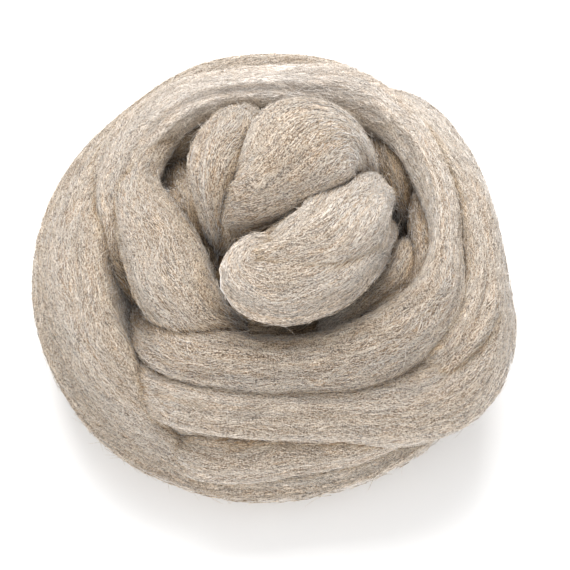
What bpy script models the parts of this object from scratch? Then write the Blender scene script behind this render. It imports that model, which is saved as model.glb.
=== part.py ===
"""Combed wool roving wound into a round nest, lying on a surface.

One long roving, about 25 mm across, is coiled on the table, wrapped round
itself in rising turns, and finished with a crown of short folds in the middle.
The model is one solid: every turn and fold is a swept tube, and the tubes are
fused and cut level where the nest rests. Metres, +Z up, +Y towards the back,
origin on the table under the middle of the nest.
"""

import math
from collections import namedtuple

import bmesh
import bpy
import numpy as np

MM = 0.001

# Driving sizes, in millimetres
NEST_MIDDLE = (-1.0, 0.9)
ROVING_ACROSS = 24.0
SIDES = 28
FURROWS = 7
FURROW_DEPTH = 0.04
TURN_OF_FURROWS = 210.0
FUSING_GRID = 1.4
SOFTENING_PASSES = 2
KEPT_SHARE = 0.077
FLOOR_BLOCK = 0.3

WOOL_COLOUR = (0.60, 0.51, 0.42, 1.0)
WOOL_ROUGHNESS = 0.95

# A turn lies round the middle of the nest. bearing is in degrees from +X, anticlockwise
# from above, reach is the distance of the roving's middle from the nest's, and height is
# that of its middle. wide is its width across, level with the table, and deep its depth.
Turn = namedtuple("Turn", "bearing reach height wide deep")
# A fold lies anywhere on the crown: this far right (+X), back (+Y) and up.
Fold = namedtuple("Fold", "right back height wide deep")

BASE_TURN = [
    Turn(285, 50, 10, 12, 16),
    Turn(305, 54, 12, 22, 26),
    Turn(325, 59, 13, 26, 28),
    Turn(345, 60, 14, 27, 30),
    Turn(370, 60, 14, 28, 30),
    Turn(400, 61, 14, 28, 30),
    Turn(430, 62, 14, 28, 30),
    Turn(460, 63, 14, 28, 30),
    Turn(490, 61, 13, 28, 28),
    Turn(515, 58, 12, 26, 26),
    Turn(540, 50, 12, 20, 24),
    Turn(560, 46, 10, 12, 16),
]

OUTER_TURN = [
    Turn(56, 65, 27, 20, 26),
    Turn(72, 65.3, 30, 26, 33),
    Turn(90, 64.2, 31, 27, 34),
    Turn(110, 64, 31, 27, 36),
    Turn(131, 62.2, 28, 28, 41),
    Turn(152, 63.3, 25, 29, 46),
    Turn(173, 63.6, 24, 30, 50),
    Turn(193, 64.6, 24, 31, 50),
    Turn(212, 65.5, 22, 29, 46),
    Turn(228, 66, 19, 28, 41),
    Turn(244, 64, 16, 28, 34),
    Turn(262, 61.8, 14, 29, 30),
    Turn(281, 60.5, 14, 29, 29),
    Turn(300, 61, 14, 28, 28),
    Turn(317, 63, 14, 25.5, 26),
    Turn(332, 60, 14, 20.5, 22),
]

RIGHT_TURN = [
    Turn(428, 62, 28, 20, 22),
    Turn(410, 65, 32, 26, 30),
    Turn(390, 62.5, 34, 26, 34),
    Turn(370, 61.5, 33, 26, 36),
    Turn(351, 63.5, 32, 27, 36),
    Turn(336, 68.7, 32, 28, 34),
    Turn(321, 70.7, 32, 28, 32),
    Turn(307, 66.5, 34, 25, 28),
    Turn(291, 59.5, 37, 21, 24),
    Turn(273, 56, 38, 22, 24),
    Turn(254, 57, 38, 22, 24),
    Turn(237, 57.5, 32.5, 23, 24),
    Turn(222, 58, 25.5, 22, 22),
    Turn(208, 57, 17, 17, 18),
]

FRONT_LENGTH = [
    Turn(304, 68, 25, 12, 14),
    Turn(298, 67, 27, 14, 16),
    Turn(291, 66, 27, 15, 18),
    Turn(282, 64, 27, 17, 20),
    Turn(272, 64, 27, 18, 22),
    Turn(261, 65.5, 26.5, 20, 24),
    Turn(251, 67, 24, 19, 22),
    Turn(241, 65.5, 19, 16, 18),
    Turn(231, 64, 13, 12, 14),
]

SHOULDER_TURN = [
    Turn(422, 62, 38, 16, 16),
    Turn(403, 62, 41, 20, 22),
    Turn(384, 61.5, 43, 21, 24),
    Turn(367, 63, 43, 20, 24),
    Turn(353, 64.7, 42, 20, 24),
    Turn(340, 67.3, 41, 21, 24),
    Turn(328, 67, 40, 21, 23),
    Turn(318, 65, 38, 18, 20),
    Turn(306, 60, 35, 13, 14),
]

UPPER_TURN = [
    Turn(195, 47, 20, 14, 16),
    Turn(215, 47.5, 29, 18, 21),
    Turn(234, 48.8, 39.3, 21.5, 24),
    Turn(256, 47, 45, 21, 24),
    Turn(280, 47, 46, 20, 24),
    Turn(301, 50, 47, 22, 24),
    Turn(319, 53, 47, 22, 24),
    Turn(336, 56, 48, 18, 24),
    Turn(354, 55, 50, 10, 24),
    Turn(372, 55, 50, 11, 24),
    Turn(391, 56, 50, 12, 24),
    Turn(409, 58, 49.5, 15, 22),
    Turn(427, 58.5, 48.5, 19, 20),
    Turn(443, 56.3, 47.5, 18, 19),
    Turn(461, 57, 47.3, 15.5, 17.5),
    Turn(479, 59.8, 46.8, 15.5, 15.5),
    Turn(497, 59.5, 43.8, 18, 19),
    Turn(513, 57.5, 40.5, 20, 24),
    Turn(529, 53.5, 35.5, 20, 25),
    Turn(542, 50.3, 30.5, 18, 23),
    Turn(554, 46.5, 24, 14, 18),
    Turn(566, 42.5, 16.5, 11, 13),
]

LEFT_FOLD = [
    Fold(-33, 45.5, 40, 8, 10),
    Fold(-38.5, 39.5, 43, 11, 12),
    Fold(-42.8, 32, 44, 13, 14),
    Fold(-45, 23, 44, 14.5, 15.5),
    Fold(-43.8, 14.5, 45, 17.5, 18),
    Fold(-40, 4.5, 46, 22.5, 21),
    Fold(-35, -7, 47.5, 26, 22),
    Fold(-31, -19, 48, 25, 22),
    Fold(-25, -27, 46, 22, 20),
    Fold(-19, -31, 42, 18, 18),
    Fold(-11, -31, 34, 14, 14),
]

LEFT_NECK = [
    Fold(-33, 37, 29, 12, 12),
    Fold(-31, 25, 33, 14, 14),
    Fold(-27.5, 13, 41, 14, 15),
    Fold(-26, 4, 43, 13, 15),
    Fold(-23.5, -4, 40, 11, 13),
    Fold(-21.5, -12, 32, 10, 11),
]

CROWN_SIDE = [
    Fold(-8, 52, 36, 10, 12),
    Fold(-10.5, 41, 49, 15, 16),
    Fold(-14, 29, 60, 19.5, 19),
    Fold(-18.5, 19, 64, 18, 20),
    Fold(-20, 12, 62, 14, 18),
    Fold(-20.2, 7, 57, 9, 14),
    Fold(-19.8, 3.5, 50, 7, 11),
    Fold(-19.3, 0.5, 42, 5.5, 8),
]

CROWN_BACK = [
    Fold(-17.3, 2.5, 41, 12, 13),
    Fold(-12.3, 6.3, 52.5, 17, 16),
    Fold(-5, 7, 61.3, 24, 21),
    Fold(2.5, 12.3, 66, 33, 24),
    Fold(9, 18.5, 68, 40, 27),
    Fold(15, 22.5, 66, 36, 24),
    Fold(20, 23.5, 60, 27, 22),
    Fold(24.5, 23, 52.5, 20, 18),
    Fold(28, 22, 43, 13, 14),
]

CROWN_FRONT = [
    Fold(11, -17.5, 60, 8, 10),
    Fold(5, -17.5, 65, 12, 15),
    Fold(-1, -18, 66.5, 14, 17),
    Fold(-5.5, -18.5, 66.5, 16, 18),
    Fold(-7.8, -21.8, 65.5, 18, 19),
    Fold(-5.2, -25.5, 65, 20, 21),
    Fold(2, -27.3, 64.5, 22, 23),
    Fold(13, -23.5, 65, 23, 23),
    Fold(21, -15.5, 63, 23, 23),
    Fold(27, -5.5, 55, 21, 20),
    Fold(31, 3, 45, 17, 18),
    Fold(33, 8, 33, 12, 12),
]

CROWN_UPPER = [
    Fold(34, 17, 40, 10, 12),
    Fold(29, 11, 48, 11, 14),
    Fold(24, 7, 58.5, 13, 16),
    Fold(17.5, -1.5, 65, 15, 18),
    Fold(9, -9, 65.5, 14, 16),
    Fold(1, -11, 62, 11, 13),
    Fold(-6, -11, 57, 8, 10),
]

CROWN_MIDDLE = [
    Fold(-8, -21.3, 62.5, 9, 12),
    Fold(-3, -21, 66.6, 14.5, 18),
    Fold(4, -19.5, 67, 20, 21),
    Fold(11, -16.5, 68, 25, 22.5),
    Fold(17.5, -12.2, 68, 27, 22.5),
    Fold(22.3, -4, 65.5, 28.5, 22),
    Fold(26, 4.2, 60.5, 23.5, 20.5),
    Fold(29.3, 10.8, 54, 18.5, 18),
    Fold(31.3, 14.5, 45, 12, 13),
]

INNER_TURN = [
    Turn(428, 61, 36, 13, 13),
    Turn(412, 55, 40, 15, 16),
    Turn(399, 50.5, 42, 15, 16),
    Turn(389, 48.5, 40, 14, 15),
    Turn(381, 47.5, 33, 12, 13),
    Turn(374, 46.5, 24, 11, 11),
    Turn(366, 45.5, 26, 12, 12),
    Turn(358, 44, 37, 14, 14),
    Turn(349, 43, 42, 17, 16),
    Turn(335, 41, 41, 18, 16),
    Turn(319, 37.5, 40, 18, 16),
    Turn(303, 35.5, 38.5, 16, 14),
    Turn(291, 35, 34.5, 13, 12),
    Turn(281, 34.5, 28, 10, 10),
]

INNER_LOCK = [
    Turn(398, 58, 34, 9, 9),
    Turn(388, 55, 38, 11, 12),
    Turn(377, 52, 41.5, 11, 13),
    Turn(364, 50, 44, 12, 14),
    Turn(350, 50.5, 45, 12, 14),
    Turn(335, 50, 45, 12, 14),
    Turn(324, 45, 44, 12, 14),
    Turn(311, 39, 39, 12, 12),
    Turn(296, 34, 32, 10, 10),
]


def coil(first_reach, last_reach, height, turns, start):
    """The hidden turns that the nest is built up on: a flat spiral of the roving."""
    count = max(3, round(turns * 12))
    rows = []
    for i in range(count + 1):
        share = i / count
        reach = first_reach + (last_reach - first_reach) * share
        rows.append(Turn(start + 360 * turns * share, reach, height, ROVING_ACROSS, ROVING_ACROSS + 2))
    return rows


def smoothed(rows, per_span):
    """Rows between the given ones, on a Catmull-Rom curve through every column."""
    table = np.array(rows, float)
    table = np.vstack([2 * table[0] - table[1], table, 2 * table[-1] - table[-2]])
    made = []
    for i in range(1, len(table) - 2):
        a, b, c, d = table[i - 1 : i + 3]
        for t in np.arange(per_span) / per_span:
            bend = (2 * a - 5 * b + 4 * c - d) * t * t + (3 * b - a - 3 * c + d) * t**3
            made.append(0.5 * (2 * b + (c - a) * t + bend))
    made.append(table[-2])
    return np.array(made)


def route(rows, per_span=4):
    """(points, sizes) along a turn or a fold, in millimetres: sizes are wide and deep."""
    table = smoothed(rows, per_span)
    if isinstance(rows[0], Turn):
        bearing = np.radians(table[:, 0])
        points = np.stack([table[:, 1] * np.cos(bearing), table[:, 1] * np.sin(bearing), table[:, 2]], 1)
    else:
        points = table[:, :3]
    return points, table[:, 3:]


def frames(points):
    """The direction along the roving, and the two across it: level, and the one that faces up."""
    along = np.gradient(points, axis=0)
    along /= np.linalg.norm(along, axis=1)[:, None]
    level = np.cross(along, (0, 0, 1))
    level /= np.linalg.norm(level, axis=1)[:, None]
    return along, level, np.cross(level, along)


def sweep(bm, rows):
    """Adds one length of roving: a flat grid rolled into a furrowed tube and laid along its route."""
    points, sizes = route(rows)
    _, level, upward = frames(points)
    run = np.concatenate([[0], np.cumsum(np.linalg.norm(np.diff(points, axis=0), axis=1))])
    last = len(points) - 1
    grid = bmesh.ops.create_grid(bm, x_segments=last, y_segments=SIDES, size=0.5)
    for vert in grid["verts"]:
        i = round((vert.co.x + 0.5) * last)
        around = 2 * math.pi * (vert.co.y + 0.5)
        wide, deep = sizes[i]
        furrow = 1 + FURROW_DEPTH * math.cos(FURROWS * around + 2 * math.pi * run[i] / TURN_OF_FURROWS)
        across = wide / 2 * math.cos(around) * furrow
        rise = deep / 2 * math.sin(around) * furrow
        vert.co = (points[i] + level[i] * across + upward[i] * rise - (*NEST_MIDDLE, 0)) * MM
    return grid["verts"]


def wound_mesh():
    """Every turn and fold in one mesh, still overlapping."""
    bm = bmesh.new()
    lengths = [
        BASE_TURN, OUTER_TURN, RIGHT_TURN, FRONT_LENGTH, SHOULDER_TURN, UPPER_TURN, LEFT_FOLD, LEFT_NECK,
        CROWN_SIDE, CROWN_BACK, CROWN_FRONT, CROWN_UPPER, CROWN_MIDDLE, INNER_TURN, INNER_LOCK,
        coil(7, 51, 12, 2, 150), coil(40, 7, 30, 1.6, 150),
    ]
    for rows in lengths:
        sweep(bm, rows)
    bmesh.ops.remove_doubles(bm, verts=bm.verts, dist=0.00001)
    bmesh.ops.holes_fill(bm, edges=[e for e in bm.edges if e.is_boundary], sides=SIDES)
    bmesh.ops.recalc_face_normals(bm, faces=bm.faces)
    mesh = bpy.data.meshes.new("wound_roving")
    bm.to_mesh(mesh)
    bm.free()
    return mesh


def collection(name):
    made = bpy.data.collections.new(name)
    bpy.context.scene.collection.children.link(made)
    return made


def wool():
    material = bpy.data.materials.new("heather_wool")
    material.use_nodes = True
    shader = material.node_tree.nodes["Principled BSDF"]
    shader.inputs["Base Color"].default_value = WOOL_COLOUR
    shader.inputs["Roughness"].default_value = WOOL_ROUGHNESS
    shader.inputs["Metallic"].default_value = 0.0
    return material


def without_crumbs(mesh):
    """Drops the loose crumbs that fusing leaves in closed-off pockets, keeping the largest piece."""
    bm = bmesh.new()
    bm.from_mesh(mesh)
    left = set(bm.verts)
    pieces = []
    while left:
        piece = {left.pop()}
        edge = list(piece)
        while edge:
            near = {e.other_vert(v) for v in edge for e in v.link_edges}
            edge = list(near - piece)
            piece |= near
        left -= piece
        pieces.append(piece)
    largest = max(pieces, key=len)
    crumbs = [v for v in bm.verts if v not in largest]
    bmesh.ops.delete(bm, geom=crumbs, context="VERTS")
    bm.to_mesh(mesh)
    bm.free()


def fused(mesh):
    """One skin round all the overlapping tubes."""
    loose = bpy.data.objects.new("loose_turns", mesh)
    bpy.context.scene.collection.objects.link(loose)
    fuse = loose.modifiers.new("fuse", "REMESH")
    fuse.mode = "VOXEL"
    fuse.voxel_size = FUSING_GRID * MM
    soften = loose.modifiers.new("soften", "SMOOTH")
    soften.iterations = SOFTENING_PASSES
    soften.factor = 0.5
    graph = bpy.context.evaluated_depsgraph_get()
    skin = bpy.data.meshes.new_from_object(loose.evaluated_get(graph))
    bpy.data.objects.remove(loose)
    without_crumbs(skin)
    return skin


def table_block():
    """What lies under the nest, taken off it so that it rests flat."""
    block = bmesh.new()
    bmesh.ops.create_cube(block, size=FLOOR_BLOCK)
    bmesh.ops.translate(block, verts=block.verts, vec=(0, 0, -FLOOR_BLOCK / 2))
    table = bpy.data.objects.new("table_cutter", bpy.data.meshes.new("table_cutter"))
    block.to_mesh(table.data)
    block.free()
    table.hide_render = True
    table.display_type = "WIRE"
    collection("cutters").objects.link(table)
    return table


def main():
    for obj in list(bpy.data.objects):
        bpy.data.objects.remove(obj)
    nest = bpy.data.objects.new("wound_roving", fused(wound_mesh()))
    collection("roving_nest").objects.link(nest)
    nest.data.materials.clear()
    nest.data.materials.append(wool())
    thin = nest.modifiers.new("thin", "DECIMATE")
    thin.ratio = KEPT_SHARE
    level = nest.modifiers.new("level", "BOOLEAN")
    level.operation = "DIFFERENCE"
    level.object = table_block()


if __name__ == "__main__":
    main()
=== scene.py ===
import math
from collections import namedtuple

import bmesh
import bpy
import numpy as np
from mathutils import Matrix, Vector
from mathutils.bvhtree import BVHTree


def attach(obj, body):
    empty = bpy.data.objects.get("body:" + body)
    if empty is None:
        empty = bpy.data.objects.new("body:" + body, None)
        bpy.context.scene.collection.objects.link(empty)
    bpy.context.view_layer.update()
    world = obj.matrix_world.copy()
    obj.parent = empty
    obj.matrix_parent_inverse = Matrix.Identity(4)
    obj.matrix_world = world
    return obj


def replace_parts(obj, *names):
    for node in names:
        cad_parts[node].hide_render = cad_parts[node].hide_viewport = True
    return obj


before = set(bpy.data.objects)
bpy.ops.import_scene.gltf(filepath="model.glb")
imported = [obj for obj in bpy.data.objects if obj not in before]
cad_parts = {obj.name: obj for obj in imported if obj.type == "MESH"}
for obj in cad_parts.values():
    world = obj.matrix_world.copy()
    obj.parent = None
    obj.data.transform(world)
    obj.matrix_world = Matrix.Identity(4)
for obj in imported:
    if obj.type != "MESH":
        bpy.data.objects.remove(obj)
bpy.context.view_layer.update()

# The look of a nest of combed wool roving. Every length of roving is a furrowed tube laid along the same
# route as the solid's, with thousands of crimped fibres lying on it. Metres, +Z up, +Y to the back.

mm = 0.001
replacedNode = "wound_roving"
bakeMap = "OFBake"  # the map that a texture bake goes through

# The route of the roving, in millimetres. A turn lies round the middle of the nest: its bearing in degrees
# from +X, how far out its middle line is, and how high. A fold lies on the crown: this far right, back and
# up. Both end with how wide the roving is on the level, and how deep at right angles to that.
Turn = namedtuple("Turn", "bearing reach height wide deep")
Fold = namedtuple("Fold", "right back height wide deep")

nestMiddle = (-1.0, 0.9)

baseTurn = [
    Turn(285, 50, 10, 12, 16),
    Turn(305, 54, 12, 22, 26),
    Turn(325, 59, 13, 26, 28),
    Turn(345, 60, 14, 27, 30),
    Turn(370, 60, 14, 28, 30),
    Turn(400, 61, 14, 28, 30),
    Turn(430, 62, 14, 28, 30),
    Turn(460, 63, 14, 28, 30),
    Turn(490, 61, 13, 28, 28),
    Turn(515, 58, 12, 26, 26),
    Turn(540, 50, 12, 20, 24),
    Turn(560, 46, 10, 12, 16),
]

outerTurn = [
    Turn(56, 65, 27, 20, 26),
    Turn(72, 65.3, 30, 26, 33),
    Turn(90, 64.2, 31, 27, 34),
    Turn(110, 64, 31, 27, 36),
    Turn(131, 62.2, 28, 28, 41),
    Turn(152, 63.3, 25, 29, 46),
    Turn(173, 63.6, 24, 30, 50),
    Turn(193, 64.6, 24, 31, 50),
    Turn(212, 65.5, 22, 29, 46),
    Turn(228, 66, 19, 28, 41),
    Turn(244, 64, 16, 28, 34),
    Turn(262, 61.8, 14, 29, 30),
    Turn(281, 60.5, 14, 29, 29),
    Turn(300, 61, 14, 28, 28),
    Turn(317, 63, 14, 25.5, 26),
    Turn(332, 60, 14, 20.5, 22),
]

rightTurn = [
    Turn(428, 62, 28, 20, 22),
    Turn(410, 65, 32, 26, 30),
    Turn(390, 62.5, 34, 26, 34),
    Turn(370, 61.5, 33, 26, 36),
    Turn(351, 63.5, 32, 27, 36),
    Turn(336, 68.7, 32, 28, 34),
    Turn(321, 70.7, 32, 28, 32),
    Turn(307, 66.5, 34, 25, 28),
    Turn(291, 59.5, 37, 21, 24),
    Turn(273, 56, 38, 22, 24),
    Turn(254, 57, 38, 22, 24),
    Turn(237, 57.5, 32.5, 23, 24),
    Turn(222, 58, 25.5, 22, 22),
    Turn(208, 57, 17, 17, 18),
]

frontLength = [
    Turn(304, 68, 25, 12, 14),
    Turn(298, 67, 27, 14, 16),
    Turn(291, 66, 27, 15, 18),
    Turn(282, 64, 27, 17, 20),
    Turn(272, 64, 27, 18, 22),
    Turn(261, 65.5, 26.5, 20, 24),
    Turn(251, 67, 24, 19, 22),
    Turn(241, 65.5, 19, 16, 18),
    Turn(231, 64, 13, 12, 14),
]

shoulderTurn = [
    Turn(422, 62, 38, 16, 16),
    Turn(403, 62, 41, 20, 22),
    Turn(384, 61.5, 43, 21, 24),
    Turn(367, 63, 43, 20, 24),
    Turn(353, 64.7, 42, 20, 24),
    Turn(340, 67.3, 41, 21, 24),
    Turn(328, 67, 40, 21, 23),
    Turn(318, 65, 38, 18, 20),
    Turn(306, 60, 35, 13, 14),
]

upperTurn = [
    Turn(195, 47, 20, 14, 16),
    Turn(215, 47.5, 29, 18, 21),
    Turn(234, 48.8, 39.3, 21.5, 24),
    Turn(256, 47, 45, 21, 24),
    Turn(280, 47, 46, 20, 24),
    Turn(301, 50, 47, 22, 24),
    Turn(319, 53, 47, 22, 24),
    Turn(336, 56, 48, 18, 24),
    Turn(354, 55, 50, 10, 24),
    Turn(372, 55, 50, 11, 24),
    Turn(391, 56, 50, 12, 24),
    Turn(409, 58, 49.5, 15, 22),
    Turn(427, 58.5, 48.5, 19, 20),
    Turn(443, 56.3, 47.5, 18, 19),
    Turn(461, 57, 47.3, 15.5, 17.5),
    Turn(479, 59.8, 46.8, 15.5, 15.5),
    Turn(497, 59.5, 43.8, 18, 19),
    Turn(513, 57.5, 40.5, 20, 24),
    Turn(529, 53.5, 35.5, 20, 25),
    Turn(542, 50.3, 30.5, 18, 23),
    Turn(554, 46.5, 24, 14, 18),
    Turn(566, 42.5, 16.5, 11, 13),
]

leftFold = [
    Fold(-33, 45.5, 40, 8, 10),
    Fold(-38.5, 39.5, 43, 11, 12),
    Fold(-42.8, 32, 44, 13, 14),
    Fold(-45, 23, 44, 14.5, 15.5),
    Fold(-43.8, 14.5, 45, 17.5, 18),
    Fold(-40, 4.5, 46, 22.5, 21),
    Fold(-35, -7, 47.5, 26, 22),
    Fold(-31, -19, 48, 25, 22),
    Fold(-25, -27, 46, 22, 20),
    Fold(-19, -31, 42, 18, 18),
    Fold(-11, -31, 34, 14, 14),
]

leftNeck = [
    Fold(-33, 37, 29, 12, 12),
    Fold(-31, 25, 33, 14, 14),
    Fold(-27.5, 13, 41, 14, 15),
    Fold(-26, 4, 43, 13, 15),
    Fold(-23.5, -4, 40, 11, 13),
    Fold(-21.5, -12, 32, 10, 11),
]

crownSide = [
    Fold(-8, 52, 36, 10, 12),
    Fold(-10.5, 41, 49, 15, 16),
    Fold(-14, 29, 60, 19.5, 19),
    Fold(-18.5, 19, 64, 18, 20),
    Fold(-20, 12, 62, 14, 18),
    Fold(-20.2, 7, 57, 9, 14),
    Fold(-19.8, 3.5, 50, 7, 11),
    Fold(-19.3, 0.5, 42, 5.5, 8),
]

crownBack = [
    Fold(-17.3, 2.5, 41, 12, 13),
    Fold(-12.3, 6.3, 52.5, 17, 16),
    Fold(-5, 7, 61.3, 24, 21),
    Fold(2.5, 12.3, 66, 33, 24),
    Fold(9, 18.5, 68, 40, 27),
    Fold(15, 22.5, 66, 36, 24),
    Fold(20, 23.5, 60, 27, 22),
    Fold(24.5, 23, 52.5, 20, 18),
    Fold(28, 22, 43, 13, 14),
]

crownFront = [
    Fold(11, -17.5, 60, 8, 10),
    Fold(5, -17.5, 65, 12, 15),
    Fold(-1, -18, 66.5, 14, 17),
    Fold(-5.5, -18.5, 66.5, 16, 18),
    Fold(-7.8, -21.8, 65.5, 18, 19),
    Fold(-5.2, -25.5, 65, 20, 21),
    Fold(2, -27.3, 64.5, 22, 23),
    Fold(13, -23.5, 65, 23, 23),
    Fold(21, -15.5, 63, 23, 23),
    Fold(27, -5.5, 55, 21, 20),
    Fold(31, 3, 45, 17, 18),
    Fold(33, 8, 33, 12, 12),
]

crownUpper = [
    Fold(34, 17, 40, 10, 12),
    Fold(29, 11, 48, 11, 14),
    Fold(24, 7, 58.5, 13, 16),
    Fold(17.5, -1.5, 65, 15, 18),
    Fold(9, -9, 65.5, 14, 16),
    Fold(1, -11, 62, 11, 13),
    Fold(-6, -11, 57, 8, 10),
]

crownMiddle = [
    Fold(-8, -21.3, 62.5, 9, 12),
    Fold(-3, -21, 66.6, 14.5, 18),
    Fold(4, -19.5, 67, 20, 21),
    Fold(11, -16.5, 68, 25, 22.5),
    Fold(17.5, -12.2, 68, 27, 22.5),
    Fold(22.3, -4, 65.5, 28.5, 22),
    Fold(26, 4.2, 60.5, 23.5, 20.5),
    Fold(29.3, 10.8, 54, 18.5, 18),
    Fold(31.3, 14.5, 45, 12, 13),
]

innerTurn = [
    Turn(428, 61, 36, 13, 13),
    Turn(412, 55, 40, 15, 16),
    Turn(399, 50.5, 42, 15, 16),
    Turn(389, 48.5, 40, 14, 15),
    Turn(381, 47.5, 33, 12, 13),
    Turn(374, 46.5, 24, 11, 11),
    Turn(366, 45.5, 26, 12, 12),
    Turn(358, 44, 37, 14, 14),
    Turn(349, 43, 42, 17, 16),
    Turn(335, 41, 41, 18, 16),
    Turn(319, 37.5, 40, 18, 16),
    Turn(303, 35.5, 38.5, 16, 14),
    Turn(291, 35, 34.5, 13, 12),
    Turn(281, 34.5, 28, 10, 10),
]

innerLock = [
    Turn(398, 58, 34, 9, 9),
    Turn(388, 55, 38, 11, 12),
    Turn(377, 52, 41.5, 11, 13),
    Turn(364, 50, 44, 12, 14),
    Turn(350, 50.5, 45, 12, 14),
    Turn(335, 50, 45, 12, 14),
    Turn(324, 45, 44, 12, 14),
    Turn(311, 39, 39, 12, 12),
    Turn(296, 34, 32, 10, 10),
]


coil = {
    "rowsInATurn": 12,
    "firstBearing": 150,
    "wide": 24,
    "deep": 26,
}


def hiddenCoil(firstReach, lastReach, height, turns):
    # The turns inside, which show only at the bottom of a gap.
    rows = []
    count = round(turns * coil["rowsInATurn"])
    for i in range(count + 1):
        share = i / count
        bearing = coil["firstBearing"] + 360 * turns * share
        reach = firstReach + (lastReach - firstReach) * share
        rows.append(Turn(bearing, reach, height, coil["wide"], coil["deep"]))
    return rows


lengths = {
    "baseTurn": baseTurn,
    "outerTurn": outerTurn,
    "rightTurn": rightTurn,
    "frontLength": frontLength,
    "shoulderTurn": shoulderTurn,
    "upperTurn": upperTurn,
    "leftFold": leftFold,
    "leftNeck": leftNeck,
    "crownSide": crownSide,
    "crownBack": crownBack,
    "crownFront": crownFront,
    "crownUpper": crownUpper,
    "crownMiddle": crownMiddle,
    "innerTurn": innerTurn,
    "innerLock": innerLock,
    "lowCoil": hiddenCoil(firstReach=7, lastReach=51, height=12, turns=2),
    "highCoil": hiddenCoil(firstReach=40, lastReach=7, height=30, turns=1.6),
}

# Painted light and shade along the roving: where a length is painted paler (+), where more light falls on it
# or comes through it from behind, or darker (-), where less does. Each row is how far along the length, as a
# share of it, and how much paler.
paintedLightAlong = {
    "outerTurn": [(0, 0.9), (0.06, 0.6), (0.15, 0.6), (0.3, 0.2), (1, 0)],
    "rightTurn": [(0, 0.6), (0.12, 1.2), (0.3, 0.5), (0.5, 0.3), (0.8, 0.5)],
    "frontLength": [(0, 0.2)],
    "shoulderTurn": [(0, 0.8), (0.15, 1.2), (0.4, 0.7), (0.9, 0)],
    "upperTurn": [(0, -0.3), (0.3, -0.3), (0.45, 0.4), (0.57, 1.3), (0.66, 1.9), (0.75, 1.5), (0.87, 0)],
    "crownSide": [(0, -0.4)],
    "crownBack": [(0, -0.2)],
    "crownFront": [(0, 0.5)],
    "crownMiddle": [(0, 0.4)],
    "innerTurn": [(0.78, 0), (0.88, 1.2)],
}

# Where light reaches deeper than the rays find. Each row is how far along the length, as a share of it, and
# how much is added to its openness.
opened = {
    "upperTurn": [(0.4, 0), (0.5, 0.1), (0.85, 0.1), (0.95, 0)],
    "highCoil": [(0, 0.12)],
    "innerTurn": [(0.5, 0), (0.62, 0.15), (0.75, 0.05), (0.83, 0.3), (0.88, 0.7), (1, 0.8)],
}

roving = {
    "ringStep": 2.2 * mm,  # along the roving
    "ringReach": 1.5,  # how many steps along the roving a ring stands for
    "fewestSteps": 8,
    "sides": 44,
    "furrows": 7,
    "furrowDepth": 0.04,  # share of the radius
    "furrowTurn": 210 * mm,  # the length in which a furrow goes once round
    "ridges": 6,  # kinds of finer ridges left by the combing
    "ridgeRound": (7, 16),  # how many of a kind there are round the roving
    "ridgeTurn": (120 * mm, 420 * mm),  # the length in which one goes once round
    "ridgeHeight": 0.15 * mm,
    "ridgeShare": (0.4, 1),  # of that height
    "locks": 8,  # kinds of bands of fibres that are lighter or darker than their neighbours
    "lockRound": (12, 60),
    "lockTurn": (90 * mm, 400 * mm),
    "lockShare": (0.3, 1),
    "sways": 4,  # slow waves in the direction of the fibres
    "sway": 0.13,  # radians each
    "swayRound": (1, 6),
    "swayTurn": (14 * mm, 45 * mm),
    "joinWithin": 0.002 * mm,  # points this close along a seam become one
    "liftApart": 0.02 * mm,  # keeps the flat undersides of crossing lengths apart
    "seed": 11,
}


def smoothRows(rows, perSpan=12):
    # Rows between the given ones, on a Catmull-Rom curve through every column.
    table = np.array(rows, float)
    table = np.vstack([2 * table[0] - table[1], table, 2 * table[-1] - table[-2]])
    made = []
    for i in range(1, len(table) - 2):
        a, b, c, d = table[i - 1 : i + 3]
        for t in np.arange(perSpan) / perSpan:
            bend = (2 * a - 5 * b + 4 * c - d) * t * t + (3 * b - a - 3 * c + d) * t**3
            made.append(0.5 * (2 * b + (c - a) * t + bend))
    made.append(table[-2])
    return np.array(made)


def unit(vectors):
    # Each vector at length one.
    return vectors / np.maximum(np.linalg.norm(vectors, axis=-1, keepdims=True), 1e-9)


def drawWaves(chance, count, around, turn):
    # Waves that wind round a length, still without their heights.
    return {
        "round": chance.integers(*around, count),
        "turn": chance.uniform(*turn, count) * chance.choice([-1, 1], count),
        "phase": chance.uniform(0, 2 * math.pi, count),
    }


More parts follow.
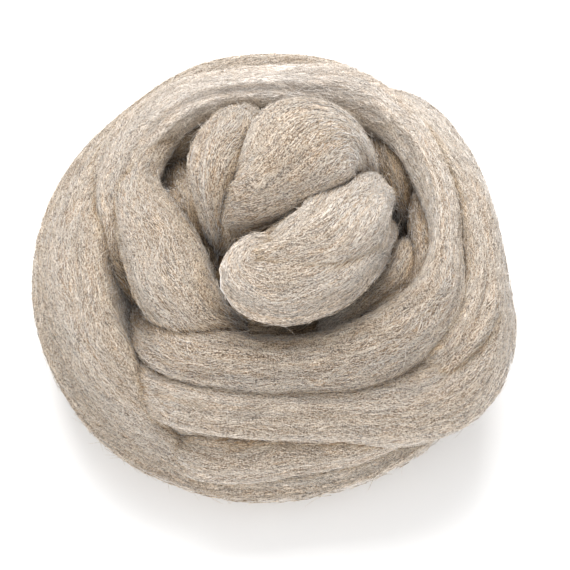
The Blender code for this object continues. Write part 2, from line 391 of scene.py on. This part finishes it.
def layOut(name, rows, index):
    # The middle line, the two directions across it and the half sizes, at even steps along a length.
    table = smoothRows(rows)
    if isinstance(rows[0], Turn):
        bearing = np.radians(table[:, 0])
        points = np.stack([table[:, 1] * np.cos(bearing), table[:, 1] * np.sin(bearing), table[:, 2]], 1)
    else:
        points = table[:, :3]
    points = (points - (*nestMiddle, 0)) * mm
    run = np.concatenate([[0], np.cumsum(np.linalg.norm(np.diff(points, axis=0), axis=1))])
    rings = max(roving["fewestSteps"], round(run[-1] / roving["ringStep"])) + 1
    even = np.linspace(0, run[-1], rings)
    points = np.stack([np.interp(even, run, c) for c in points.T], 1)
    sizes = np.stack([np.interp(even, run, c) for c in table[:, 3:].T], 1) / 2 * mm
    along = unit(np.gradient(points, axis=0))
    level = unit(np.cross(along, (0, 0, 1)))
    upward = np.cross(level, along)
    chance = np.random.default_rng(roving["seed"] + index)
    ridges = drawWaves(chance, roving["ridges"], roving["ridgeRound"], roving["ridgeTurn"])
    ridges["height"] = chance.uniform(*roving["ridgeShare"], roving["ridges"]) * roving["ridgeHeight"]
    locks = drawWaves(chance, roving["locks"], roving["lockRound"], roving["lockTurn"])
    locks["height"] = chance.uniform(*roving["lockShare"], roving["locks"]) / math.sqrt(roving["locks"])
    sways = drawWaves(chance, roving["sways"], roving["swayRound"], roving["swayTurn"])
    sways["height"] = np.full(roving["sways"], roving["sway"])
    return {
        "name": name,
        "index": index,
        "length": run[-1],
        "run": even,
        "columns": np.hstack([points, level, upward, sizes]),
        "along": along,
        "ridges": ridges,
        "locks": locks,
        "sways": sways,
    }


def amountAt(amounts, length, run):
    # What the painted light and shade along a length, or opened, gives at each place along it.
    table = np.array(amounts.get(length["name"], [(0, 0)]))
    return np.interp(run / length["length"], table[:, 0], table[:, 1])


def waves(kind, run, around):
    # The sum of some helical waves at a place on a length.
    total = 0
    for count, turn, phase, height in zip(kind["round"], kind["turn"], kind["phase"], kind["height"]):
        total = total + height * np.cos(count * around + 2 * math.pi * run / turn + phase)
    return total


def skin(length, run, around, lift=0.0):
    # (points, outward directions) on a length of roving, this far along it and round it.
    at = np.stack([np.interp(run, length["run"], column) for column in length["columns"].T], -1)
    centre, level, upward = at[..., 0:3], at[..., 3:6], at[..., 6:9]
    halfWide, halfDeep = at[..., 9], at[..., 10]
    furrowed = np.cos(roving["furrows"] * around + 2 * math.pi * run / roving["furrowTurn"])
    swell = 1 + roving["furrowDepth"] * furrowed
    swell = swell + waves(length["ridges"], run, around) / ((halfWide + halfDeep) / 2)
    cosine, sine = np.cos(around), np.sin(around)
    across = halfWide * cosine * swell
    rise = halfDeep * sine * swell
    outward = unit(level * (halfDeep * cosine)[..., None] + upward * (halfWide * sine)[..., None])
    points = centre + level * across[..., None] + upward * rise[..., None]
    points = points + outward * np.asarray(lift)[..., None]
    lowest = roving["liftApart"] * (1 + length["index"])
    points[..., 2] = np.maximum(points[..., 2], lowest)
    return points, outward


def straightened(length, run, around):
    # The same place with the length pulled straight along X, a metre from the next one.
    girth = np.interp(run, length["run"], length["columns"][:, 9:].mean(1))
    return np.stack([run + length["index"], girth * np.cos(around), girth * np.sin(around)], -1)


def finish(piece, material):
    piece.data.materials.append(material)
    bpy.context.scene.collection.objects.link(piece)
    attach(piece, "root")
    return piece


def rovingPiece(name, length, material):
    # A flat grid rolled into a tube along the route, its seam joined and its ends closed.
    bm = bmesh.new()
    bm.loops.layers.uv.new(bakeMap)
    straight = bm.verts.layers.float_vector.new("straight")
    last = len(length["run"]) - 1
    bmesh.ops.create_grid(bm, x_segments=last, y_segments=roving["sides"], size=0.5, calc_uvs=True)
    flat = np.array([v.co for v in bm.verts])
    run = (flat[:, 0] + 0.5) * length["length"]
    around = (flat[:, 1] + 0.5) * 2 * math.pi
    points, _ = skin(length, run, around)
    for vert, point, place in zip(bm.verts, points, straightened(length, run, around)):
        vert.co = point
        vert[straight] = place
    bmesh.ops.remove_doubles(bm, verts=bm.verts, dist=roving["joinWithin"])
    bmesh.ops.holes_fill(bm, edges=[e for e in bm.edges if e.is_boundary], sides=roving["sides"])
    bmesh.ops.recalc_face_normals(bm, faces=bm.faces)
    for face in bm.faces:
        face.smooth = True
    piece = bpy.data.objects.new(name, bpy.data.meshes.new(name))
    bm.to_mesh(piece.data)
    bm.free()
    finish(piece, material)
    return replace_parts(piece, replacedNode)


openness = {
    "netStep": 1.8 * mm,  # of the net of places that it is measured at
    "netSides": 44,
    "fewestSteps": 8,
    "directions": 4096,  # that the rays are picked from
    "rays": 14,
    "reach": 26 * mm,  # beyond which nothing shades a place
    "farShare": 0.35,  # the light that comes back from wool at that reach
    "start": 0.5 * mm,
    "upward": 0.55,  # how far the rays lean from the skin's own direction towards the sky
    "bunching": 1.02,  # how closely they keep to where they lean
    "buriedAt": 0.9,  # share of another length's radius, within which a place sees nothing
    "seed": 3,
}


def measureOpenness(pieces, allLengths):
    # How much of the sky each place on a length sees, from 0, deep in a gap, to 1, in the open.
    bm = bmesh.new()
    for piece in pieces:
        bm.from_mesh(piece.data)
    tree = BVHTree.FromBMesh(bm)
    bm.free()
    chance = np.random.default_rng(openness["seed"])
    sky = unit(chance.normal(0, 1, (openness["directions"], 3)))
    reach, farShare = openness["reach"], openness["farShare"]
    for length in allLengths:
        rings = max(openness["fewestSteps"], round(length["length"] / openness["netStep"])) + 1
        sides = openness["netSides"]
        run = np.linspace(0, length["length"], rings)[:, None] + np.zeros((1, sides))
        around = np.linspace(0, 2 * math.pi, sides, endpoint=False)[None] + np.zeros((rings, 1))
        points, outward = skin(length, run, around, openness["start"])
        points, outward = points.reshape(-1, 3), outward.reshape(-1, 3)
        hidden = buried(points, length, allLengths, openness["buriedAt"])
        lean = unit(outward + (0, 0, openness["upward"]))
        seen = np.zeros(len(points))
        for i in np.flatnonzero(~hidden):
            place = Vector(points[i])
            picks = chance.integers(0, len(sky), openness["rays"])
            total = 0
            for ray in unit(sky[picks] + lean[i] * openness["bunching"]):
                distance = tree.ray_cast(place, ray, reach)[3]
                total += 1 if distance is None else farShare * distance / reach
            seen[i] = total / openness["rays"]
        # Each place is evened out with its neighbours round the length, then along it.
        net = seen.reshape(rings, sides)
        net = (np.roll(net, 1, 1) + 2 * net + np.roll(net, -1, 1)) / 4
        length["open"] = np.vstack([net[:1], (net[:-2] + net[1:-1] + net[2:]) / 3, net[-1:]])


def openAt(length, run, around):
    # The openness between the net's places, with what is added to it.
    net = length["open"]
    rings, sides = net.shape
    i = np.clip(run / length["length"], 0, 1) * (rings - 1)
    j = around / (2 * math.pi) * sides
    low = np.minimum(i.astype(int), rings - 2)
    left = np.floor(j).astype(int)
    up, across = i - low, j - left
    left, right = left % sides, (left + 1) % sides
    lower = net[low, left] * (1 - across) + net[low, right] * across
    upper = net[low + 1, left] * (1 - across) + net[low + 1, right] * across
    return lower * (1 - up) + upper * up + amountAt(opened, length, run)


def setMark(mesh, name, values, kind="FLOAT"):
    # A value at every point of a mesh, which its material reads.
    attribute = mesh.attributes.new(name, kind, "POINT")
    attribute.data.foreach_set("value" if kind == "FLOAT" else "vector", values.ravel().astype(np.float32))


def markRoving(piece, length):
    # The openness, which the material turns into painted shade, the lock, and the painted light and shade
    # along the length, at every point of a length's own piece, from its straightened place.
    straight = np.zeros(len(piece.data.vertices) * 3, np.float32)
    piece.data.attributes["straight"].data.foreach_get("vector", straight)
    run, across, rise = straight.reshape(-1, 3).T
    run, around = run - length["index"], np.arctan2(rise, across)
    setMark(piece.data, "open", openAt(length, run, around))
    setMark(piece.data, "lock", waves(length["locks"], run, around))
    # painted light and shade along the length
    setMark(piece.data, "pale", amountAt(paintedLightAlong, length, run))


everyFibre = {
    "taper": 1.9,  # how much it narrows towards its ends, 2 at most
    "crimpSpread": (0.7, 1.4),  # the shortest and longest crimp, as a share of its kind's
    "crimpOut": 0.5,  # how far the crimp goes out and in, as a share of how far it goes sideways
    "crimpsOut": 1.3,  # crimps out and in to each one sideways
    "uprightShare": 0.5,  # of the fibres kept where the skin stands upright
    "shareRise": 1.5,  # how fast that grows as the skin turns up
    "underShare": 0.2,  # of the fibres kept where it faces down
    "cellFill": 0.8,  # how much of its cell of the map a fibre fills
    "cellEdge": 0.1,
}

fibre = {
    "rings": 2,  # between its two pointed ends
    "perSquare": 1.42e6,  # fibres to each square metre of skin that faces up
    "coilShare": {"lowCoil": 0, "highCoil": 0.35},  # of that, on coils that show only in the gaps
    "most": 16000,  # of a piece
    "length": 6.0 * mm,
    "lengthSpread": 0.3,
    "thick": 0.105 * mm,  # half of it across
    "thickSpread": 0.25,
    "drift": 0.28,  # radians off its neighbours' direction
    "crimp": 0.24 * mm,
    "crimpWave": 4.5 * mm,
    "rise": (-0.03 * mm, 0.32 * mm),  # off the skin
    "endRise": 0.30 * mm,  # how much further an end rises, on average
    "buriedAt": 0.93,  # share of another length's radius, within which no fibre starts
    "seed": 5,
}


def fibreShape(rings):
    # One straight fibre from -0.5 to 0.5 along X: a three-sided rod, cut into rings and drawn to a point.
    touching = 0.001
    bm = bmesh.new()
    bmesh.ops.create_cone(bm, cap_ends=True, segments=3, radius1=1, radius2=1, depth=1)
    bmesh.ops.rotate(bm, verts=bm.verts, matrix=Matrix.Rotation(math.radians(90), 3, "Y"))
    for i in range(rings):
        cut = (i + 0.5) / rings - 0.5
        rod = bm.verts[:] + bm.edges[:] + bm.faces[:]
        bmesh.ops.bisect_plane(bm, geom=rod, plane_co=(cut, 0, 0), plane_no=(1, 0, 0))
    for vert in bm.verts:
        taper = math.sqrt(max(0, 1 - (everyFibre["taper"] * vert.co.x) ** 2))
        vert.co.y *= taper
        vert.co.z *= taper
    for end in (-0.5, 0.5):
        tip = [v for v in bm.verts if abs(v.co.x - end) < touching]
        bmesh.ops.pointmerge(bm, verts=tip, merge_co=(end, 0, 0))
    bmesh.ops.triangulate(bm, faces=bm.faces)
    bmesh.ops.recalc_face_normals(bm, faces=bm.faces)
    bm.verts.index_update()
    points = np.array([v.co for v in bm.verts])
    faces = np.array([[v.index for v in f.verts] for f in bm.faces])
    bm.free()
    return points, faces


def buried(points, own, allLengths, share):
    # Whether each point lies within this share of the radius of a length other than its own.
    inside = np.zeros(len(points), bool)
    for other in allLengths:
        if other is own:
            continue
        centre, level, upward, sizes = np.split(other["columns"], [3, 6, 9], axis=1)
        nearest = np.argmin((centre**2).sum(1) - 2 * points @ centre.T, axis=1)
        away = points - centre[nearest]
        across = (away * level[nearest]).sum(1) / sizes[nearest, 0]
        rise = (away * upward[nearest]).sum(1) / sizes[nearest, 1]
        along = np.abs((away * other["along"][nearest]).sum(1))
        inside |= (across**2 + rise**2 < share**2) & (along < roving["ringReach"] * roving["ringStep"])
    return inside


def placesOn(length, allLengths, kind, chance, share=1):
    # Even random places (run, around, speed) for a kind of fibre, on the part of a length's skin that shows.
    halfWide, halfDeep = length["columns"][:, 9], length["columns"][:, 10]
    largest = max(halfWide.max(), halfDeep.max())
    tries = int(share * kind["perSquare"] * length["length"] * 2 * math.pi * largest)
    run = chance.uniform(0, length["length"], tries)
    around = chance.uniform(0, 2 * math.pi, tries)
    wide = np.interp(run, length["run"], halfWide)
    deep = np.interp(run, length["run"], halfDeep)
    speed = np.hypot(wide * np.sin(around), deep * np.cos(around))  # metres of skin to a radian round it
    points, outward = skin(length, run, around)
    facing = everyFibre["uprightShare"] + everyFibre["shareRise"] * outward[:, 2]
    facing = np.clip(facing, everyFibre["underShare"], 1)
    kept = chance.uniform(0, 1, tries) < speed / largest * facing
    kept = kept & ~buried(points, length, allLengths, kind["buriedAt"])
    return run[kept], around[kept], speed[kept]


def fibrePaths(length, places, kind, chance):
    # The middle line of every fibre, its outward directions, half thickness and what its colour depends on.
    run, around, speed = places
    count = len(run)
    size = kind["length"] * np.exp(chance.normal(0, kind["lengthSpread"], count))
    drift = chance.normal(0, kind["drift"], count) + waves(length["sways"], run, around)
    wave = kind["crimpWave"] * chance.uniform(*everyFibre["crimpSpread"], count)
    phase = chance.uniform(0, 2 * math.pi, count)
    base = chance.uniform(*kind["rise"], count)
    ends = chance.exponential(kind["endRise"], (2, count))
    share = np.concatenate([[-0.5], (np.arange(kind["rings"]) + 0.5) / kind["rings"] - 0.5, [0.5]])
    reach = share[None] * size[:, None]
    curl = 2 * math.pi * reach / wave[:, None] + phase[:, None]
    sideways = reach * np.sin(drift)[:, None] + kind["crimp"] * np.sin(curl)
    lift = base[:, None] + everyFibre["crimpOut"] * kind["crimp"] * np.cos(everyFibre["crimpsOut"] * curl)
    lift = lift + ends[0][:, None] * np.clip(2 * share, 0, 1)[None] ** 2
    lift = lift + ends[1][:, None] * np.clip(-2 * share, 0, 1)[None] ** 2
    atRun = np.clip(run[:, None] + reach * np.cos(drift)[:, None], 0, length["length"])
    atAround = around[:, None] + sideways / speed[:, None]
    points, outward = skin(length, atRun, atAround, lift)
    alike = np.zeros_like(atRun)  # what is added to it is the same all along a fibre
    return {
        "points": points,
        "outward": outward,
        "thick": kind["thick"] * np.exp(chance.normal(0, kind["thickSpread"], count)),
        "lock": waves(length["locks"], run, around)[:, None] + alike,
        # painted light and shade along the length, the same all along a fibre
        "pale": amountAt(paintedLightAlong, length, run)[:, None] + alike,
        "open": openAt(length, atRun, atAround),
        "straight": straightened(length, atRun, atAround),
    }


def fibrePiece(name, paths, material, kind, chance):
    # Copies of one fibre, each bent along its own path, joined in one mesh.
    points, outward = paths["points"], paths["outward"]
    rings = kind["rings"]
    shape, faces = fibreShape(rings)
    # Which place of the path each point of the shape goes to.
    stations = np.round(np.clip((shape[:, 0] + 0.5) * rings + 0.5, 0, rings + 1)).astype(int)
    along = unit(np.gradient(points, axis=1))
    side = unit(np.cross(along, outward))
    away = np.cross(side, along)
    half = paths["thick"][:, None, None]
    across = side[:, stations] * shape[:, 1, None] + away[:, stations] * shape[:, 2, None]
    verts = points[:, stations] + half * across
    verts[..., 2] = np.maximum(verts[..., 2], roving["liftApart"])
    count, each = verts.shape[:2]
    triangles = (faces[None] + np.arange(count)[:, None, None] * each).reshape(-1, 3)
    mesh = bpy.data.meshes.new(name)
    mesh.from_pydata(verts.reshape(-1, 3), [], triangles, shade_flat=False)
    setMark(mesh, "tone", np.repeat(chance.uniform(0, 1, count), each))
    for mark in ("lock", "pale", "open"):
        setMark(mesh, mark, paths[mark][:, stations])
    setMark(mesh, "straight", paths["straight"][:, stations], "FLOAT_VECTOR")
    # Each fibre has its own cell of the map, seen from its side.
    cells = math.ceil(math.sqrt(count))
    cell = np.stack([np.arange(count) % cells, np.arange(count) // cells], 1)
    within = np.stack([shape[:, 0] + 0.5, shape[:, 1] / 2 + 0.5], 1)
    within = within * everyFibre["cellFill"] + everyFibre["cellEdge"]
    places = ((cell[:, None] + within[None]) / cells).reshape(-1, 2)
    layer = mesh.uv_layers.new(name=bakeMap)
    layer.uv.foreach_set("vector", places[triangles.ravel()].ravel().astype(np.float32))
    piece = bpy.data.objects.new(name, mesh)
    return finish(piece, material)


# The flyaway fibres, which stand further off the skin
looseFibre = {
    "rings": 5,
    "perSquare": 0.085e6,
    "most": 3500,
    "length": 11 * mm,
    "lengthSpread": 0.35,
    "thick": 0.06 * mm,
    "thickSpread": 0.2,
    "drift": 0.7,
    "crimp": 0.5 * mm,
    "crimpWave": 8.0 * mm,
    "rise": (0.1 * mm, 0.8 * mm),
    "endRise": 1.1 * mm,
    "buriedAt": 1.0,
    "seed": 23,
}


class Socket:
    # A node socket that takes part in sums.
    def __init__(self, paint, socket):
        self.paint = paint
        self.socket = socket

    def maths(self, operation, first, second):
        return self.paint.add("ShaderNodeMath", {"operation": operation}, {0: first, 1: second})

    def __add__(self, other):
        return self.maths("ADD", self, other)

    def __radd__(self, other):
        return self.maths("ADD", other, self)

    def __sub__(self, other):
        return self.maths("SUBTRACT", self, other)

    def __rsub__(self, other):
        return self.maths("SUBTRACT", other, self)

    def __mul__(self, other):
        return self.maths("MULTIPLY", self, other)

    def __rmul__(self, other):
        return self.maths("MULTIPLY", other, self)


class Paint:
    # One material, with the shader that its nodes feed. A socket is given by its name, or by its number where
    # a node has several of one name.
    def __init__(self, name):
        self.material = bpy.data.materials.new(name)
        self.material.use_nodes = True
        self.tree = self.material.node_tree
        self.shader = self.tree.nodes["Principled BSDF"]

    def put(self, socket, value):
        if isinstance(value, Socket):
            self.tree.links.new(value.socket, socket)
        else:
            socket.default_value = value

    def add(self, kind, settings=None, sockets=None, output=0):
        node = self.tree.nodes.new(kind)
        for name, value in (settings or {}).items():
            if name == "stops":
                self.setStops(node.color_ramp, value)
            else:
                setattr(node, name, value)
        for name, value in (sockets or {}).items():
            self.put(node.inputs[name], value)
        return Socket(self, node.outputs[output])

    def mark(self, name, output="Fac"):
        return self.add("ShaderNodeAttribute", {"attribute_name": name}, output=output)

    def mix(self, blend, factor, first, second):
        # Sockets 6 and 7 of a Mix node are its two colours, and its output 2 is the mixed one.
        settings = {"data_type": "RGBA", "blend_type": blend}
        return self.add("ShaderNodeMix", settings, {"Factor": factor, 6: first, 7: second}, output=2)

    def setStops(self, ramp, stops):
        while len(ramp.elements) < len(stops):
            ramp.elements.new(1)
        for element, (place, colour) in zip(ramp.elements, stops):
            element.position = place
            element.color = (*colour, 1)

    def surface(self, **values):
        for name, value in values.items():
            self.put(self.shader.inputs[name], value)


wool = {
    # from the darkest fibres to the lightest: the tone, then its colour
    "fibreTones": [
        (0.00, (0.06, 0.04, 0.026)),
        (0.12, (0.16, 0.12, 0.08)),
        (0.24, (0.28, 0.28, 0.265)),
        (0.35, (0.38, 0.24, 0.13)),
        (0.48, (0.41, 0.33, 0.235)),
        (0.62, (0.51, 0.39, 0.26)),
        (0.75, (0.49, 0.46, 0.41)),
        (0.88, (0.60, 0.55, 0.465)),
        (1.00, (0.74, 0.69, 0.60)),
    ],
    # painted shade: how much of that colour is left, from deep in a gap to the open, where less light
    # reaches: the openness, then the share
    "paintedShade": [
        (0.15, (0.125, 0.09, 0.055)),
        (0.30, (0.30, 0.225, 0.145)),
        (0.45, (0.56, 0.455, 0.335)),
        (0.60, (0.82, 0.71, 0.585)),
        (0.75, (0.985, 0.91, 0.83)),
        (0.90, (1.0, 0.955, 0.93)),
    ],
    "fibreTone": 0.73,  # the middle of the fibres' tones
    "toneSpread": 0.45,  # how far one fibre differs from the next
    "lockStrength": 0.26,  # how much lighter or darker a lock is
    "paintedLightStrength": 0.32,  # how much gamma goes down for each 1 of painted light
    "fleckAlong": 0.42 * mm,  # short fine specks
    "fleckAcross": 0.18 * mm,
    "fleckDetail": 0.0,
    "fleckStrength": 3.6,
    "lineAlong": 12 * mm,  # long fine lines
    "lineAcross": 0.26 * mm,
    "lineDetail": 1.0,
    "lineStrength": 1.8,
    "patchAlong": 16 * mm,  # soft patches of a grey and a warm tint
    "patchAcross": 1.5 * mm,
    "patchDetail": 3.0,
    "tints": [(0.38, (0.44, 0.425, 0.395)), (0.62, (0.55, 0.41, 0.27))],
    "tintShare": 0.2,
    "shadedGroundTone": 0.24,  # of the wool below the fibres, kept darker as painted shade between them
    "streakAlong": 1.8 * mm,  # two layers of crossing streaks in it
    "streakAcross": 0.40 * mm,
    "streakDetail": 3.0,
    "streakTurns": (-8, 9),  # degrees off the roving's direction
    "streakStrength": 3.0,
    "streakBump": 0.18 * mm,
    "noiseRoughness": 0.6,
    "noiseDistortion": 0.5,
    "roughness": 0.92,
    "specular": 0.2,
    "sheen": 0.8,
    "sheenRoughness": 0.45,
}


def stretched(paint, straight, kind, turned=0):
    # Noise drawn out along the roving: flecks, lines, patches or streaks.
    along, across = wool[kind + "Along"], wool[kind + "Across"]
    place = paint.add("ShaderNodeMapping", sockets={
        "Vector": straight,
        "Rotation": (0, math.radians(turned), math.radians(turned)),
        "Scale": (1 / along, 1 / across, 1 / across),
    })
    return paint.add("ShaderNodeTexNoise", sockets={
        "Vector": place,
        "Scale": 1.0,
        "Detail": wool[kind + "Detail"],
        "Roughness": wool["noiseRoughness"],
        "Distortion": wool["noiseDistortion"],
    })


def heathered(paint, tone, straight):
    # The wool's colour: a tone from flecks, lines and locks, pulled warm or grey by soft patches, with
    # painted light and shade along the roving, and painted shade deep in the folds, where less of the sky is
    # seen.
    fleck = stretched(paint, straight, "fleck")
    line = stretched(paint, straight, "line")
    tone = tone + (fleck - 0.5) * wool["fleckStrength"] + paint.mark("lock") * wool["lockStrength"]
    tone = tone + (line - 0.5) * wool["lineStrength"]
    base = paint.add("ShaderNodeValToRGB", {"stops": wool["fibreTones"]}, {"Fac": tone})
    patch = stretched(paint, straight, "patch")
    tint = paint.add("ShaderNodeValToRGB", {"stops": wool["tints"]}, {"Fac": patch})
    mixed = paint.mix("MIX", wool["tintShare"], base, tint)
    # painted light and shade along the roving, as a change of gamma
    gamma = 1 - paint.mark("pale") * wool["paintedLightStrength"]
    mixed = paint.add("ShaderNodeGamma", sockets={"Color": mixed, "Gamma": gamma})
    # painted shade: darker where a place sees less of the sky
    depth = paint.add("ShaderNodeValToRGB", {"stops": wool["paintedShade"]}, {"Fac": paint.mark("open")})
    return paint.mix("MULTIPLY", 1.0, mixed, depth)


def woolly(paint, colour, **more):
    # The dull, slightly sheeny surface that all of the wool has.
    paint.surface(**{
        "Base Color": colour,
        "Roughness": wool["roughness"],
        "Sheen Weight": wool["sheen"],
        "Sheen Roughness": wool["sheenRoughness"],
        "Specular IOR Level": wool["specular"],
        **more,
    })
    return paint.material


def fibreWool():
    # Each fibre with a tone of its own.
    paint = Paint("fibre_wool")
    straight = paint.mark("straight", "Vector")
    tone = (paint.mark("tone") - 0.5) * wool["toneSpread"] + wool["fibreTone"]
    return woolly(paint, heathered(paint, tone, straight))


def combedWool():
    # Fine streaks along the roving, in its straightened place.
    paint = Paint("combed_wool")
    straight = paint.mark("straight", "Vector")
    layers = [stretched(paint, straight, "streak", turned) for turned in wool["streakTurns"]]
    streak = (layers[0] + layers[1]) * 0.5
    # the ground below the fibres is painted darker, as shade between them
    tone = (streak - 0.5) * wool["streakStrength"] + wool["shadedGroundTone"]
    bump = paint.add("ShaderNodeBump", sockets={
        "Height": streak,
        "Distance": wool["streakBump"],
        "Strength": 1.0,
    })
    return woolly(paint, heathered(paint, tone, straight), Normal=bump)


laid = {name: layOut(name, rows, index) for index, (name, rows) in enumerate(lengths.items())}
allLengths = list(laid.values())
combed = combedWool()
fibres = fibreWool()

pieces = {name: rovingPiece(name, length, combed) for name, length in laid.items()}
triangles = sum(len(face.vertices) - 2 for piece in pieces.values() for face in piece.data.polygons)
print("lengths of roving laid,", triangles, "triangles")

measureOpenness(pieces.values(), allLengths)
for name, length in laid.items():
    markRoving(pieces[name], length)
print("openness measured")

for name, length in laid.items():
    share = fibre["coilShare"].get(name, 1)
    if share == 0:
        continue
    chance = np.random.default_rng(fibre["seed"] + length["index"])
    places = placesOn(length, allLengths, fibre, chance, share)
    found = len(places[0])
    places = [column[: fibre["most"]] for column in places]
    paths = fibrePaths(length, places, fibre, chance)
    piece = fibrePiece(name + "Fibres", paths, fibres, fibre, chance)
    triangles += len(piece.data.polygons)
    print("fibres on", name, found, "places,", len(piece.data.polygons), "triangles")

chance = np.random.default_rng(looseFibre["seed"])
loose = []
for name, length in laid.items():
    if name in fibre["coilShare"]:
        continue
    places = placesOn(length, allLengths, looseFibre, chance)
    loose.append(fibrePaths(length, places, looseFibre, chance))
paths = {key: np.concatenate([some[key] for some in loose])[: looseFibre["most"]] for key in loose[0]}
piece = fibrePiece("looseFibres", paths, fibres, looseFibre, chance)
triangles += len(piece.data.polygons)
print("loose fibres", len(paths["thick"]), "and", triangles, "triangles in all")


studio = {
    "floorSide": 8.0,
    "floorColour": (0.84, 0.84, 0.84, 1),
    "floorRoughness": 0.9,
    "floorSpecular": 0.1,
    "worldColour": (1, 1, 1, 1),
    "worldStrength": 0.80,
    "lamps": [
        {"place": (-0.03, 0.42, 0.50), "width": 0.55, "power": 7.5},
        {"place": (-0.15, -1.00, 0.50), "width": 0.9, "power": 10.0},
    ],
    "elevation": 62.0,  # of the camera, in degrees
    "distance": 0.65,
    "target": (1.0 * mm, -0.9 * mm, 30 * mm),
    "spanAtTarget": 188.44 * mm,  # what the camera's view takes in there
    "right": 3.47 * mm,  # how far the camera moves aside from the target, still level with it
    "up": -6.6 * mm,
    "sensorWidth": 36,
    "nearest": 0.01,  # that the camera sees
}


def layFloor():
    bm = bmesh.new()
    bmesh.ops.create_grid(bm, x_segments=1, y_segments=1, size=studio["floorSide"] / 2)
    floor = bpy.data.objects.new("floor", bpy.data.meshes.new("floor"))
    bm.to_mesh(floor.data)
    bm.free()
    paint = Paint("pale_floor")
    paint.surface(**{
        "Base Color": studio["floorColour"],
        "Roughness": studio["floorRoughness"],
        "Specular IOR Level": studio["floorSpecular"],
    })
    floor.data.materials.append(paint.material)
    bpy.context.scene.collection.objects.link(floor)


def lightStudio():
    world = bpy.data.worlds.new("studio")
    world.use_nodes = True
    background = world.node_tree.nodes["Background"].inputs
    background["Color"].default_value = studio["worldColour"]
    background["Strength"].default_value = studio["worldStrength"]
    bpy.context.scene.world = world
    for row in studio["lamps"]:
        lamp = bpy.data.lights.new("softbox", "AREA")
        lamp.size = row["width"]
        lamp.energy = row["power"]
        holder = bpy.data.objects.new("softbox", lamp)
        holder.location = row["place"]
        holder.rotation_euler = Vector(row["place"]).to_track_quat("Z", "Y").to_euler()
        bpy.context.scene.collection.objects.link(holder)
    bpy.context.scene.view_settings.view_transform = "Standard"


def placeCamera():
    rise = math.radians(studio["elevation"])
    back = Vector((0, -math.cos(rise), math.sin(rise)))
    up = Vector((0, math.sin(rise), math.cos(rise)))
    camera = bpy.data.objects.new("camera", bpy.data.cameras.new("camera"))
    camera.data.sensor_width = studio["sensorWidth"]
    camera.data.lens = studio["sensorWidth"] * studio["distance"] / studio["spanAtTarget"]
    camera.data.clip_start = studio["nearest"]
    middle = Vector(studio["target"]) + Vector((studio["right"], 0, 0)) + up * studio["up"]
    camera.location = middle + back * studio["distance"]
    camera.rotation_euler = back.to_track_quat("Z", "Y").to_euler()
    bpy.context.scene.collection.objects.link(camera)
    bpy.context.scene.camera = camera


layFloor()
lightStudio()
placeCamera()
print("floor, light and camera placed")
